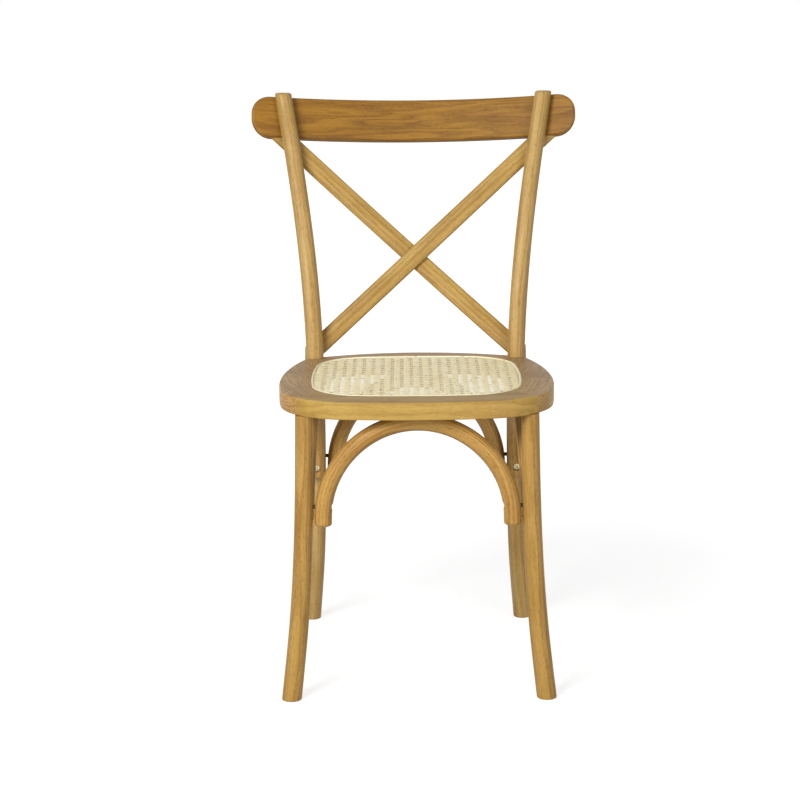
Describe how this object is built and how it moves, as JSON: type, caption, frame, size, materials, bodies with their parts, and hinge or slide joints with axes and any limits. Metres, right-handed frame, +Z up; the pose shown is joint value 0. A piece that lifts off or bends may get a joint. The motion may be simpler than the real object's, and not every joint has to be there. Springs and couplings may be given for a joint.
{
  "type": "cross back dining chair",
  "caption": "Cross back dining chair of bent wood with a woven cane seat panel, arched hoops under the seat and a curved top rail over crossing slats.",
  "frame": {"origin": "on the floor under the middle of the overall box", "axes": "+Z up from the floor; the sitter faces -Y; +X is to the right as seen from the front"},
  "size_m": [0.531, 0.5392, 0.883],
  "materials": {
    "frame_wood": "satin lacquer",
    "slat_wood": "satin lacquer",
    "rail_wood": "satin lacquer",
    "seat_wood": "satin lacquer",
    "dowel_wood": "raw",
    "cane": "satin",
    "cane_reed": "satin",
    "zinc_steel": "zinc plated"
  },
  "bodies": {
    "root": {"seat_rail_front": "seat_wood", "seat_rail_rear": "seat_wood", "seat_rail_left": "seat_wood", "seat_rail_right": "seat_wood", "seat_corner_dowels": "dowel_wood", "cane_webbing": "cane", "cane_spline": "cane_reed", "front_leg_left": "frame_wood", "front_leg_right": "frame_wood", "back_post_left": "frame_wood", "back_post_right": "frame_wood", "top_rail": "rail_wood", "cross_slat_front": "slat_wood", "cross_slat_rear": "slat_wood", "hoop_front": "frame_wood", "hoop_rear": "frame_wood", "hoop_left": "frame_wood", "hoop_right": "frame_wood", "hoop_end_screws": "zinc_steel", "hoop_crown_screws": "zinc_steel", "post_seat_bolts": "zinc_steel", "rail_screws": "zinc_steel", "slat_end_screws": "zinc_steel", "slat_crossing_screw": "zinc_steel"}
  },
  "joints": []
}
